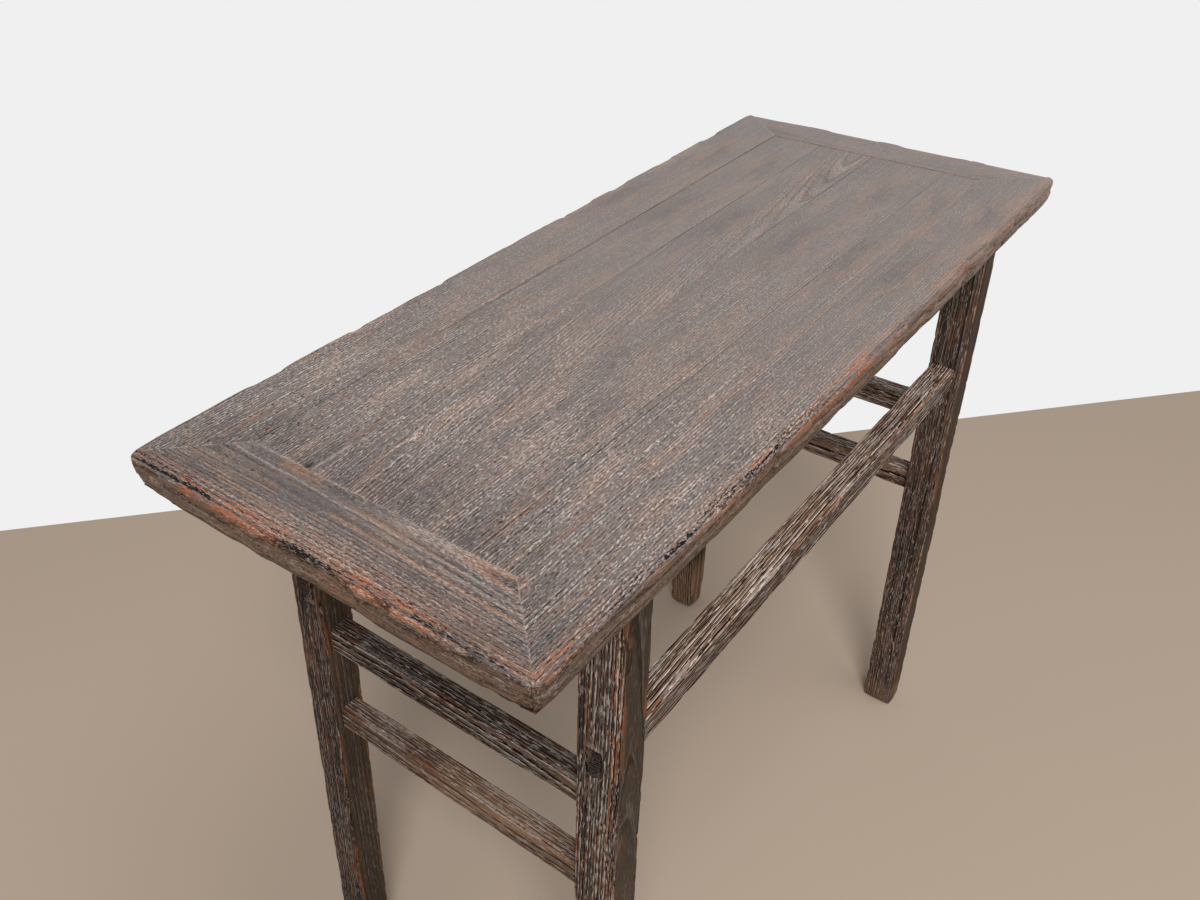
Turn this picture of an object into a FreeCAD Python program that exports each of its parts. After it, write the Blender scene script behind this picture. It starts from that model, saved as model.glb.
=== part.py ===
import FreeCAD, Part
import math
import os
import Sketcher
from types import SimpleNamespace

# A recessed-leg altar table of solid wood, held by its joints alone.
# The top is a mitred frame round a floating panel of four boards, which three
# sliding dovetail battens keep flat. Four legs lean outwards, are tenoned into the
# long rails from below and are tied by two long and four end stretchers.
# Frame: +X along the table, +Y to the back, +Z up, origin on the floor under the
# middle of the top. Lengths are in millimetres.

# Driving sizes, kept in the spreadsheet
SIZES = {
    # Whole table
    "table_length": 1075,
    "table_depth": 440,
    "table_height": 850,
    # Frame of the top
    "frame_thickness": 37,
    "long_rail_width": 77,
    "left_rail_width": 77,
    "right_rail_width": 66,
    # Edge of the top: a rounded arris, an upright land, then a belly that draws in
    "edge_arris_radius": 4,
    "edge_land_depth": 13.5,
    "edge_setback": 6,
    "plan_corner_radius": 7,
    # Groove that holds the panel, all round inside the frame
    "groove_drop": 6,
    "groove_height": 8,
    "groove_depth": 10,
    # Tenons of the mitred corners, on the long rails
    "corner_tenon_drop": 19,
    "corner_tenon_thickness": 10,
    "corner_tenon_width": 26,
    "corner_tenon_inset": 12,
    "corner_tenon_cover": 18,
    # Boards of the panel
    "panel_drop": 0.5,
    "panel_thickness": 20,
    "plank_tongue_length": 7,
    # Battens under the panel
    "batten_width": 32,
    "batten_height": 14,
    "dovetail_neck_width": 20,
    "dovetail_head_width": 26,
    "dovetail_height": 5,
    "batten_tenon_width": 20,
    "batten_tenon_thickness": 8,
    "batten_tenon_length": 15,
    # Legs: sizes across are level ones, insets are those of the leg's top
    "leg_width": 42,
    "leg_depth": 45,
    "leg_end_inset": 131,
    "leg_side_inset": 18,
    "leg_end_splay": 20,
    "leg_side_splay": 8,
    "leg_outer_radius": 8,
    "leg_arris_radius": 3,
    "leg_tenon_width": 24,
    "leg_tenon_depth": 16,
    "leg_tenon_height": 20,
    # Long stretchers, with tenons right through the legs
    "long_stretcher_top": 638,
    "long_stretcher_height": 32,
    "long_stretcher_width": 32,
    "long_stretcher_inset": 10,
    "through_tenon_thickness": 16,
    "through_tenon_recess": 0.8,
    # End stretchers, with stub tenons
    "upper_stretcher_top": 574,
    "lower_stretcher_top": 455,
    "end_stretcher_height": 32,
    "end_stretcher_width": 26,
    "end_stretcher_inset": 9,
    "stub_tenon_thickness": 10,
    "stub_tenon_height": 22,
    "stub_tenon_length": 28,
    "stretcher_arris_radius": 3,
    # Fits
    "joint_clearance": 0.15,
    "socket_end_gap": 1,
    # How far a cut runs past what it cuts
    "cut_overrun": 5,
}

# Where the boards' seams lie across the opening of the frame, as shares of its depth
SEAM_SHARES = (0.15, 0.493, 0.755)

# Where the battens lie along the opening, as shares of its length
BATTEN_SHARES = (0.2, 0.5, 0.8)

# How far a mitre cut runs past each end of the mitre, as a share of the mitre
MITRE_OVERRUN_SHARE = 0.2

PAD = "PartDesign::Pad"
POCKET = "PartDesign::Pocket"


class Size:
    """A length with its value and the spreadsheet formula that it is bound to."""

    def __init__(self, value, formula):
        self.value = value
        self.formula = formula

    def _join(self, sign, other, value):
        return Size(value, f"({self.formula} {sign} {as_size(other).formula})")

    def __add__(self, other):
        return self._join("+", other, self.value + as_size(other).value)

    def __sub__(self, other):
        return self._join("-", other, self.value - as_size(other).value)

    def __mul__(self, other):
        return self._join("*", other, self.value * as_size(other).value)

    def __truediv__(self, other):
        return self._join("/", other, self.value / as_size(other).value)

    def __neg__(self):
        return self * -1


def as_size(value):
    """A plain number, such as a side's sign or a share, as a Size."""
    return value if isinstance(value, Size) else Size(value, f"({value})")


# The document and its spreadsheet

doc = FreeCAD.newDocument("altar_table")
sheet = doc.addObject("Spreadsheet::Sheet", "sizes")
for row, (alias, number) in enumerate(SIZES.items(), start=1):
    sheet.set(f"A{row}", alias)
    sheet.set(f"B{row}", str(number))
    sheet.setAlias(f"B{row}", alias)
doc.recompute()

size = SimpleNamespace(**{alias: Size(number, f"sizes.{alias}") for alias, number in SIZES.items()})

# Places that several pieces share

half_length = size.table_length / 2
half_depth = size.table_depth / 2
frame_underside = size.table_height - size.frame_thickness

opening_front = size.long_rail_width - half_depth
opening_back = half_depth - size.long_rail_width
opening_left = size.left_rail_width - half_length
opening_right = half_length - size.right_rail_width

groove_top = size.table_height - size.groove_drop
groove_bottom = groove_top - size.groove_height
tongue_top = groove_top - size.joint_clearance
frame_tongue_length = size.groove_depth - size.socket_end_gap

panel_top = size.table_height - size.panel_drop
panel_bottom = panel_top - size.panel_thickness

batten_bottom = panel_bottom - size.batten_height
batten_tenon_bottom = batten_bottom + (size.batten_height - size.batten_tenon_thickness) / 2
batten_centres = [opening_left + (opening_right - opening_left) * share for share in BATTEN_SHARES]

corner_tenon_bottom = size.table_height - size.corner_tenon_drop - size.corner_tenon_thickness

long_stretcher_bottom = size.long_stretcher_top - size.long_stretcher_height
end_stretcher_tops = {"upper": size.upper_stretcher_top, "lower": size.lower_stretcher_top}

SIDES = {"front": -1, "back": 1}
ENDS = {"left": -1, "right": 1}
END_RAIL_WIDTHS = {-1: size.left_rail_width, 1: size.right_rail_width}


def leg_outer_x(height):
    """How far a leg's outer end face lies from the middle at a height, by its lean."""
    lean_share = (frame_underside - height) / frame_underside
    return half_length - size.leg_end_inset + size.leg_end_splay * lean_share


def leg_outer_y(height):
    """The same for a leg's outer side face."""
    lean_share = (frame_underside - height) / frame_underside
    return half_depth - size.leg_side_inset + size.leg_side_splay * lean_share


def leg_inner_x(height):
    return leg_outer_x(height) - size.leg_width


def leg_inner_y(height):
    return leg_outer_y(height) - size.leg_depth


# Drawing and shaping

def new_body(label):
    body = doc.addObject("PartDesign::Body", label)
    body.Label = label
    return body


def arc_between(start, end, radius, turn):
    """An arc from start to end, its centre left of the way if turn is 1, right if -1."""
    chord = end - start
    middle = (start + end) * 0.5
    left = FreeCAD.Vector(-chord.y, chord.x, 0).normalize()
    rise = math.sqrt(max(radius ** 2 - (chord.Length / 2) ** 2, 0))
    centre = middle + left * (turn * rise)
    first, last = (start, end) if turn > 0 else (end, start)
    angles = [math.atan2(point.y - centre.y, point.x - centre.x) for point in (first, last)]
    circle = Part.Circle(centre, FreeCAD.Vector(0, 0, 1), radius)
    return Part.ArcOfCircle(circle, *angles)


def add_sketch(body, name, role, outline, offset):
    """Draw a closed outline on an origin plane of the body, shifted along its normal.

    A corner is (across, up), or (across, up, radius, turn) where an arc leaves it.
    """
    sketch = body.newObject("Sketcher::SketchObject", name)
    plane = [feature for feature in body.Origin.OriginFeatures if feature.Role == role][0]
    sketch.AttachmentSupport = (plane, [""])
    sketch.MapMode = "FlatFace"
    sketch.setExpression(".AttachmentOffset.Base.z", offset.formula)
    corners = [[as_size(entry) for entry in corner[:2]] for corner in outline]
    points = [FreeCAD.Vector(across.value, up.value, 0) for across, up in corners]
    starts = []
    for index, corner in enumerate(outline):
        start = points[index]
        end = points[(index + 1) % len(points)]
        if len(corner) == 2:
            sketch.addGeometry(Part.LineSegment(start, end), False)
            starts.append(1)
        else:
            radius, turn = corner[2:]
            sketch.addGeometry(arc_between(start, end, radius.value, turn), False)
            starts.append(1 if turn > 0 else 2)
            bind(sketch, Sketcher.Constraint("Radius", index, radius.value), radius)
    for index, start in enumerate(starts):
        before = index - 1 if index else len(starts) - 1
        end_before = 3 - starts[before]
        sketch.addConstraint(Sketcher.Constraint("Coincident", before, end_before, index, start))
        for kind, place in zip(("DistanceX", "DistanceY"), corners[index]):
            bind(sketch, Sketcher.Constraint(kind, -1, 1, index, start, place.value), place)
    return sketch


def bind(sketch, constraint, length):
    """Add a constraint and bind it to the spreadsheet."""
    index = sketch.addConstraint(constraint)
    sketch.setExpression(f"Constraints[{index}]", length.formula)


def extrude(body, name, kind, role, outline, start, length):
    """Pad or pocket an outline from start over length, along the plane's world axis."""
    at_far_end = (kind == POCKET) != (role == "XZ_Plane")
    place = start + length if at_far_end else as_size(start)
    offset = -place if role == "XZ_Plane" else place
    sketch = add_sketch(body, f"{name}_outline", role, outline, offset)
    feature = body.newObject(kind, name)
    feature.Profile = sketch
    feature.setExpression("Length", as_size(length).formula)
    return feature


def rectangle(left, right, low, high):
    return [(left, low), (right, low), (right, high), (left, high)]


def grown(left, right, low, high, amount):
    """A rectangle with room all round."""
    return rectangle(left - amount, right + amount, low - amount, high + amount)


def rounded_rectangle(left, right, low, high, radii):
    """A rectangle with rounded corners; radii go with the corners by their signs."""
    return [
        (left + radii[-1, -1], low),
        (right - radii[1, -1], low, radii[1, -1], 1),
        (right, low + radii[1, -1]),
        (right, high - radii[1, 1], radii[1, 1], 1),
        (right - radii[1, 1], high),
        (left + radii[-1, 1], high, radii[-1, 1], 1),
        (left, high - radii[-1, 1]),
        (left, low + radii[-1, -1], radii[-1, -1], 1),
    ]


def mirrored_span(side, near, far):
    """Two distances from the middle as a low and a high place on one side of it."""
    return (near, far) if side > 0 else (-far, -near)


# The frame of the top

def rail_section(side, outer, width):
    """A rail's section, its moulded edge outwards and the panel's groove inwards."""
    edge = outer * side
    inner = (outer - width) * side
    groove_end = (outer - width + size.groove_depth) * side
    belly_height = size.frame_thickness - size.edge_land_depth
    belly_radius = (size.edge_setback * size.edge_setback + belly_height * belly_height) / (
        size.edge_setback * 2
    )
    return [
        (inner, frame_underside),
        ((outer - size.edge_setback) * side, frame_underside, belly_radius, side),
        (edge, frame_underside + belly_height),
        (edge, size.table_height - size.edge_arris_radius, size.edge_arris_radius, side),
        ((outer - size.edge_arris_radius) * side, size.table_height),
        (inner, size.table_height),
        (inner, groove_top),
        (groove_end, groove_top),
        (groove_end, groove_bottom),
        (inner, groove_bottom),
    ]


def mitre(body, end, side, on_long_rail):
    """Cut the corner's mitre, which runs from the inner to the outer corner."""
    width_x = END_RAIL_WIDTHS[end]
    width_y = size.long_rail_width
    inward = 1 + MITRE_OVERRUN_SHARE
    near_x = (half_length - width_x * inward) * end
    near_y = (half_depth - width_y * inward) * side
    far_x = (half_length + width_x * MITRE_OVERRUN_SHARE) * end
    far_y = (half_depth + width_y * MITRE_OVERRUN_SHARE) * side
    waste = (far_x, near_y) if on_long_rail else (near_x, far_y)
    outline = [(near_x, near_y), (far_x, far_y), waste]
    height = size.frame_thickness + size.cut_overrun * 2
    extrude(body, "Mitre", POCKET, "XY_Plane", outline, frame_underside - size.cut_overrun, height)


def round_plan_corner(body, end, side):
    """Take the sharp corner off the top, seen from above."""
    radius = size.plan_corner_radius
    outside_x = (half_length + size.cut_overrun) * end
    outside_y = (half_depth + size.cut_overrun) * side
    outline = [
        (outside_x, outside_y),
        (outside_x, (half_depth - radius) * side),
        (half_length * end, (half_depth - radius) * side, radius, end * side),
        ((half_length - radius) * end, half_depth * side),
        ((half_length - radius) * end, outside_y),
    ]
    height = size.frame_thickness + size.cut_overrun * 2
    extrude(body, "Plan_corner", POCKET, "XY_Plane", outline, frame_underside - size.cut_overrun, height)


def corner_tenon_plan(end, side, end_gap, clearance):
    """The corner tenon seen from above, or its mortise when given a gap and clearance."""
    inset_y = half_depth - size.long_rail_width + size.corner_tenon_inset
    low_y, high_y = mirrored_span(side, inset_y, inset_y + size.corner_tenon_width)
    root_x = half_length - END_RAIL_WIDTHS[end]
    tip_x = half_length - size.corner_tenon_cover + end_gap
    low_x, high_x = mirrored_span(end, root_x, tip_x)
    return rectangle(low_x, high_x, low_y - clearance, high_y + clearance)


def make_long_rail(label, side):
    body = new_body(label)
    section = rail_section(side, half_depth, size.long_rail_width)
    extrude(body, "Moulding", PAD, "YZ_Plane", section, -half_length, size.table_length)
    for end in ENDS.values():
        mitre(body, end, side, True)
        round_plan_corner(body, end, side)
        plan = corner_tenon_plan(end, side, as_size(0), as_size(0))
        thickness = size.corner_tenon_thickness
        extrude(body, "Corner_tenon", PAD, "XY_Plane", plan, corner_tenon_bottom, thickness)
        cut_leg_socket(body, end, side)
    for centre in batten_centres:
        cut_batten_socket(body, centre, side)
    return body


def make_end_rail(label, end):
    body = new_body(label)
    section = rail_section(end, half_length, END_RAIL_WIDTHS[end])
    extrude(body, "Moulding", PAD, "XZ_Plane", section, -half_depth, size.table_depth)
    for side in SIDES.values():
        mitre(body, end, side, False)
        round_plan_corner(body, end, side)
        plan = corner_tenon_plan(end, side, size.socket_end_gap, size.joint_clearance)
        low = corner_tenon_bottom - size.joint_clearance
        height = size.corner_tenon_thickness + size.joint_clearance * 2
        extrude(body, "Corner_mortise", POCKET, "XY_Plane", plan, low, height)
    return body


def leg_tenon_span(end, side):
    """The four sides of a leg's top tenon: it stands in the middle of the leg's top."""
    centre_x = (leg_outer_x(frame_underside) - size.leg_width / 2) * end
    centre_y = (leg_outer_y(frame_underside) - size.leg_depth / 2) * side
    half_x = size.leg_tenon_width / 2
    half_y = size.leg_tenon_depth / 2
    return centre_x - half_x, centre_x + half_x, centre_y - half_y, centre_y + half_y


def cut_leg_socket(body, end, side):
    plan = grown(*leg_tenon_span(end, side), size.joint_clearance)
    height = size.cut_overrun + size.leg_tenon_height + size.socket_end_gap
    extrude(body, "Leg_mortise", POCKET, "XY_Plane", plan, frame_underside - size.cut_overrun, height)


def cut_batten_socket(body, centre, side):
    half_width = size.batten_tenon_width / 2 + size.joint_clearance
    depth = size.batten_tenon_length + size.socket_end_gap
    low_y, high_y = mirrored_span(side, opening_back - size.cut_overrun, opening_back + depth)
    plan = rectangle(centre - half_width, centre + half_width, low_y, high_y)
    low = batten_tenon_bottom - size.joint_clearance
    height = size.batten_tenon_thickness + size.joint_clearance * 2
    extrude(body, "Batten_mortise", POCKET, "XY_Plane", plan, low, height)


# The panel

def plank_section(front, back, front_board):
    """A board's section. Its back edge has a tongue; its front edge has one too if it
    is the front board, and a groove for its neighbour's tongue if not."""
    low = front + size.joint_clearance
    high = back - size.joint_clearance
    back_tongue = frame_tongue_length if back is opening_back else size.plank_tongue_length
    if front_board:
        front_end = front - frame_tongue_length
        front_top = tongue_top
    else:
        front_end = front + size.plank_tongue_length + size.socket_end_gap
        front_top = groove_top
    return [
        (low, panel_bottom),
        (high, panel_bottom),
        (high, groove_bottom),
        (back + back_tongue, groove_bottom),
        (back + back_tongue, tongue_top),
        (high, tongue_top),
        (high, panel_top),
        (low, panel_top),
        (low, front_top),
        (front_end, front_top),
        (front_end, groove_bottom),
        (low, groove_bottom),
    ]


def dovetail(centre, neck_bottom, clearance):
    """The dovetail's outline from below its neck up to its head."""
    neck = size.dovetail_neck_width / 2 + clearance
    head = size.dovetail_head_width / 2 + clearance
    top = panel_bottom + size.dovetail_height + clearance
    return [
        (centre - neck, neck_bottom),
        (centre + neck, neck_bottom),
        (centre + neck, panel_bottom),
        (centre + head, top),
        (centre - head, top),
        (centre - neck, panel_bottom),
    ]


def make_plank(label, front, back):
    body = new_body(label)
    front_board = front is opening_front
    start = opening_left - frame_tongue_length
    length = opening_right - opening_left + frame_tongue_length * 2
    extrude(body, "Board", PAD, "YZ_Plane", plank_section(front, back, front_board), start, length)
    reach = frame_tongue_length + size.cut_overrun
    rebates = {
        "Left": (opening_left - reach, opening_left + size.joint_clearance),
        "Right": (opening_right - size.joint_clearance, opening_right + reach),
    }
    for name, (low_x, high_x) in rebates.items():
        over = rectangle(low_x, high_x, tongue_top, panel_top + size.cut_overrun)
        under = rectangle(low_x, high_x, panel_bottom - size.cut_overrun, groove_bottom)
        extrude(body, f"{name}_rebate_over", POCKET, "XZ_Plane", over, -half_depth, size.table_depth)
        extrude(body, f"{name}_rebate_under", POCKET, "XZ_Plane", under, -half_depth, size.table_depth)
    for centre in batten_centres:
        slot = dovetail(centre, panel_bottom - size.cut_overrun, size.joint_clearance)
        extrude(body, "Dovetail_slot", POCKET, "XZ_Plane", slot, -half_depth, size.table_depth)
    return body


def make_batten(label, centre):
    body = new_body(label)
    half_width = size.batten_width / 2
    bar = rectangle(centre - half_width, centre + half_width, batten_bottom, panel_bottom)
    key = dovetail(centre, batten_bottom, as_size(0))
    opening_depth = opening_back - opening_front
    extrude(body, "Bar", PAD, "XZ_Plane", bar, opening_front, opening_depth)
    extrude(body, "Dovetail", PAD, "XZ_Plane", key, opening_front, opening_depth)
    half_tenon = size.batten_tenon_width / 2
    tip = size.batten_tenon_length
    plan = rectangle(centre - half_tenon, centre + half_tenon, opening_front - tip, opening_back + tip)
    thickness = size.batten_tenon_thickness
    extrude(body, "Tenons", PAD, "XY_Plane", plan, batten_tenon_bottom, thickness)
    return body


# The legs

def make_leg(label, end, side):
    body = new_body(label)
    floor = as_size(0)
    low_x, high_x = mirrored_span(end, leg_inner_x(floor), leg_outer_x(floor))
    low_y, high_y = mirrored_span(side, leg_inner_y(floor), leg_outer_y(floor))
    radii = {(sign_x, sign_y): size.leg_arris_radius for sign_x in (-1, 1) for sign_y in (-1, 1)}
    radii[end, side] = size.leg_outer_radius
    section = rounded_rectangle(low_x, high_x, low_y, high_y, radii)
    post = extrude(body, "Post", PAD, "XY_Plane", section, floor, frame_underside)
    post.UseCustomVector = True
    post.AlongSketchNormal = True
    post.setExpression("Direction.x", (-size.leg_end_splay * end).formula)
    post.setExpression("Direction.y", (-size.leg_side_splay * side).formula)
    post.setExpression("Direction.z", frame_underside.formula)
    plan = rectangle(*leg_tenon_span(end, side))
    extrude(body, "Top_tenon", PAD, "XY_Plane", plan, frame_underside, size.leg_tenon_height)
    cut_through_mortise(body, end, side)
    for top in end_stretcher_tops.values():
        cut_stub_mortise(body, end, side, top)
    return body


def through_tenon_span(side):
    """The through tenon's sides in depth and height: it is as high as the stretcher."""
    middle = long_stretcher_centre() * side
    half_thickness = size.through_tenon_thickness / 2
    return middle - half_thickness, middle + half_thickness, long_stretcher_bottom, size.long_stretcher_top


def cut_through_mortise(body, end, side):
    outline = grown(*through_tenon_span(side), size.joint_clearance)
    low_x, high_x = mirrored_span(end, as_size(0), half_length)
    extrude(body, "Through_mortise", POCKET, "YZ_Plane", outline, low_x, high_x - low_x)


def stub_tenon_span(end, top):
    """The stub tenon's sides in length and height, in the middle of its stretcher."""
    middle_x = end_stretcher_centre(top) * end
    middle_z = top - size.end_stretcher_height / 2
    half_thickness = size.stub_tenon_thickness / 2
    half_height = size.stub_tenon_height / 2
    return (
        middle_x - half_thickness,
        middle_x + half_thickness,
        middle_z - half_height,
        middle_z + half_height,
    )


def stub_tenon_tip(top):
    """How far a stub tenon's tip lies from the middle of the table."""
    return leg_inner_y(top - size.end_stretcher_height / 2) + size.stub_tenon_length


def cut_stub_mortise(body, end, side, top):
    outline = grown(*stub_tenon_span(end, top), size.joint_clearance)
    tip = stub_tenon_tip(top) + size.socket_end_gap
    low_y, high_y = mirrored_span(side, as_size(0), tip)
    extrude(body, "Stub_mortise", POCKET, "XZ_Plane", outline, low_y, high_y - low_y)


# The stretchers

def long_stretcher_centre():
    """How far a long stretcher's middle lies from the table's middle, in depth."""
    middle_height = long_stretcher_bottom + size.long_stretcher_height / 2
    outer = leg_outer_y(middle_height) - size.long_stretcher_inset
    return outer - size.long_stretcher_width / 2


def end_stretcher_centre(top):
    """How far an end stretcher's middle lies from the table's middle, in length."""
    outer = leg_outer_x(top - size.end_stretcher_height / 2) - size.end_stretcher_inset
    return outer - size.end_stretcher_width / 2


def beyond_leg_face(face, sign, bottom, top):
    """All that lies past a leg's leaning inner face, as an outline seen across it."""
    low = bottom - size.cut_overrun
    high = top + size.cut_overrun
    past = face(bottom) + size.cut_overrun * 2
    return [(face(low) * sign, low), (past * sign, low), (past * sign, high), (face(high) * sign, high)]


def make_long_stretcher(label, side):
    body = new_body(label)
    bottom = long_stretcher_bottom
    top = size.long_stretcher_top
    middle = long_stretcher_centre() * side
    half_width = size.long_stretcher_width / 2
    radii = {(sign_y, sign_z): size.stretcher_arris_radius for sign_y in (-1, 1) for sign_z in (-1, 1)}
    section = rounded_rectangle(middle - half_width, middle + half_width, bottom, top, radii)
    reach = leg_inner_x(bottom) + size.cut_overrun
    extrude(body, "Bar", PAD, "YZ_Plane", section, -reach, reach * 2)
    for end in ENDS.values():
        waste = beyond_leg_face(leg_inner_x, end, bottom, top)
        extrude(body, "Shoulder", POCKET, "XZ_Plane", waste, -half_depth, size.table_depth)
    low_y, high_y, low_z, high_z = through_tenon_span(side)
    for end in ENDS.values():
        root = (leg_inner_x(top) - size.cut_overrun) * end
        tip_low = (leg_outer_x(low_z) - size.through_tenon_recess) * end
        tip_high = (leg_outer_x(high_z) - size.through_tenon_recess) * end
        outline = [(root, low_z), (tip_low, low_z), (tip_high, high_z), (root, high_z)]
        extrude(body, "Through_tenon", PAD, "XZ_Plane", outline, low_y, high_y - low_y)
    return body


def make_end_stretcher(label, end, top):
    body = new_body(label)
    bottom = top - size.end_stretcher_height
    middle = end_stretcher_centre(top) * end
    half_width = size.end_stretcher_width / 2
    radii = {(sign_x, sign_z): size.stretcher_arris_radius for sign_x in (-1, 1) for sign_z in (-1, 1)}
    section = rounded_rectangle(middle - half_width, middle + half_width, bottom, top, radii)
    reach = leg_inner_y(bottom) + size.cut_overrun
    extrude(body, "Bar", PAD, "XZ_Plane", section, -reach, reach * 2)
    for side in SIDES.values():
        waste = beyond_leg_face(leg_inner_y, side, bottom, top)
        extrude(body, "Shoulder", POCKET, "YZ_Plane", waste, -half_length, size.table_length)
    low_x, high_x, low_z, high_z = stub_tenon_span(end, top)
    tip = stub_tenon_tip(top)
    plan = rectangle(low_x, high_x, -tip, tip)
    extrude(body, "Stub_tenons", PAD, "XY_Plane", plan, low_z, high_z - low_z)
    return body


# Assembly

pieces = []
for side_name, side in SIDES.items():
    pieces.append(make_long_rail(f"top_long_rail_{side_name}", side))
for end_name, end in ENDS.items():
    pieces.append(make_end_rail(f"top_end_rail_{end_name}", end))

inner_seams = [opening_front + (opening_back - opening_front) * share for share in SEAM_SHARES]
seams = [opening_front, *inner_seams, opening_back]
for index, (front, back) in enumerate(zip(seams, seams[1:]), start=1):
    pieces.append(make_plank(f"panel_plank_{index}", front, back))
for index, centre in enumerate(batten_centres, start=1):
    pieces.append(make_batten(f"panel_batten_{index}", centre))

for side_name, side in SIDES.items():
    for end_name, end in ENDS.items():
        pieces.append(make_leg(f"leg_{side_name}_{end_name}", end, side))
    pieces.append(make_long_stretcher(f"{side_name}_long_stretcher", side))
for end_name, end in ENDS.items():
    for level, top in end_stretcher_tops.items():
        pieces.append(make_end_stretcher(f"{end_name}_{level}_stretcher", end, top))

doc.recompute()

# Every object must be sound, and every cut and pad must change its body the right way

for item in doc.Objects:
    if "Invalid" in item.State or "Error" in item.State:
        raise RuntimeError(f"{item.Name} failed: {item.State}")
for piece in pieces:
    volume = 0
    for feature in piece.Group:
        if feature.TypeId not in (PAD, POCKET):
            continue
        change = feature.Shape.Volume - volume
        if change == 0 or (change > 0) != (feature.TypeId == PAD):
            raise RuntimeError(f"{piece.Label}: {feature.Name} does nothing")
        volume = feature.Shape.Volume
    if piece.Shape.isNull() or not piece.Shape.isValid() or len(piece.Shape.Solids) != 1:
        raise RuntimeError(f"{piece.Label} is not one sound solid")

os.makedirs("parts", exist_ok=True)
for piece in pieces:
    piece.Shape.exportStep(os.path.join("parts", f"{piece.Label}.step"))
    print(f"{piece.Label}: {piece.Shape.Volume / 1e3:.1f} cm3")
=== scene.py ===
import math
from dataclasses import dataclass
from itertools import product
from types import SimpleNamespace

import bpy
import numpy as np
from mathutils import Matrix, Vector


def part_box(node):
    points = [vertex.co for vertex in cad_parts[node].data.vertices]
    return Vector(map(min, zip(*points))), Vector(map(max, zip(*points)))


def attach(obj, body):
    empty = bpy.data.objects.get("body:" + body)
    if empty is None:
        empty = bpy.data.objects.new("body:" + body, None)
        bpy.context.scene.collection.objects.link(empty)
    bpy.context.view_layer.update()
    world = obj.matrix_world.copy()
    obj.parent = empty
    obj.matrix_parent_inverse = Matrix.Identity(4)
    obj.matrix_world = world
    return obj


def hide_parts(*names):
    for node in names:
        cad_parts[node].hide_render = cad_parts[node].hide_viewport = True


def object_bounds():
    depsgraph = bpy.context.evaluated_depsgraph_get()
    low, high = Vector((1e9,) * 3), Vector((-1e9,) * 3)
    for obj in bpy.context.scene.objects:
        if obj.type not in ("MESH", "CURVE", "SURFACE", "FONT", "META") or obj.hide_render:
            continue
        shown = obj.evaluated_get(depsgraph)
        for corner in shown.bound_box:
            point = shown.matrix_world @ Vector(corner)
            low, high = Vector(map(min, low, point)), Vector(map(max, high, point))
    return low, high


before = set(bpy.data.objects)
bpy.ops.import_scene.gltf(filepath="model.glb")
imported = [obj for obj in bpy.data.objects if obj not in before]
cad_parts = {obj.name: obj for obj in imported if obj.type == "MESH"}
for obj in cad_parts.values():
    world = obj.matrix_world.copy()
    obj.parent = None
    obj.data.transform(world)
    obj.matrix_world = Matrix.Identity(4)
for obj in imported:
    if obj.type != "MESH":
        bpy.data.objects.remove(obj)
cad_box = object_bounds()

# A worn altar table of open-grained hardwood. Each piece is a dense skin lofted over the
# space of its solid, with raised grain, worn arrises and rubbed patches, and it carries
# its place in the log (rings, fibre direction) for the wood's colours.
# Lengths are in millimetres; meshes are scaled to metres when they are made.

METRE = 1000.0


def node_box(node):
    """A solid's lowest and highest corners in millimetres."""
    low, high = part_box(node)
    return np.array(low) * METRE, np.array(high) * METRE


def add_object(name, data):
    """An object of this data, in the scene."""
    added = bpy.data.objects.new(name, data)
    bpy.context.scene.collection.objects.link(added)
    return added


# Camera, as the photograph was taken

CAMERA_PLACE = Vector((-0.9057, -0.5197, 1.3708))
CAMERA_YAW = 0.6707
CAMERA_PITCH = 0.6106
CAMERA_ROLL = -0.0195
SENSOR_WIDTH = 36
IMAGE_WIDTH = 1200
IMAGE_HEIGHT = 900
FOCAL_PIXELS = 1088.7
CENTRE_PIXEL_X = 539.9
CENTRE_PIXEL_Y = 446.5


def add_camera():
    data = bpy.data.cameras.new("camera")
    data.sensor_width = SENSOR_WIDTH
    data.lens = SENSOR_WIDTH * FOCAL_PIXELS / IMAGE_WIDTH
    data.shift_x = (IMAGE_WIDTH / 2 - CENTRE_PIXEL_X) / IMAGE_WIDTH
    data.shift_y = (CENTRE_PIXEL_Y - IMAGE_HEIGHT / 2) / IMAGE_WIDTH
    roll = Matrix.Rotation(CAMERA_ROLL, 4, "Z")
    pitch = Matrix.Rotation(math.pi / 2 - CAMERA_PITCH, 4, "X")
    yaw = Matrix.Rotation(CAMERA_YAW - math.pi / 2, 4, "Z")
    camera = add_object("camera", data)
    camera.matrix_world = Matrix.Translation(CAMERA_PLACE) @ yaw @ pitch @ roll
    bpy.context.scene.camera = camera


# Noise, the same in every run

HASH_FACTORS = (
    np.uint64(0x9E3779B97F4A7C15),
    np.uint64(0xC2B2AE3D27D4EB4F),
    np.uint64(0x165667B19E3779F9),
)
HASH_MIX = np.uint64(0xD6E8FEB86659FD93)
HASH_SHIFT = np.uint64(32)
HASH_RANGE = 2.0 ** 64


def hash_share(cells, seed):
    """A fixed random share from 0 to 1 for each row of whole numbers."""
    mixed = np.full(cells.shape[0], seed, np.uint64) * HASH_MIX
    for column, factor in enumerate(HASH_FACTORS[:cells.shape[1]]):
        mixed ^= cells[:, column].astype(np.int64).view(np.uint64) * factor
        mixed ^= mixed >> HASH_SHIFT
        mixed *= HASH_MIX
    mixed ^= mixed >> HASH_SHIFT
    return mixed / HASH_RANGE


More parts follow.
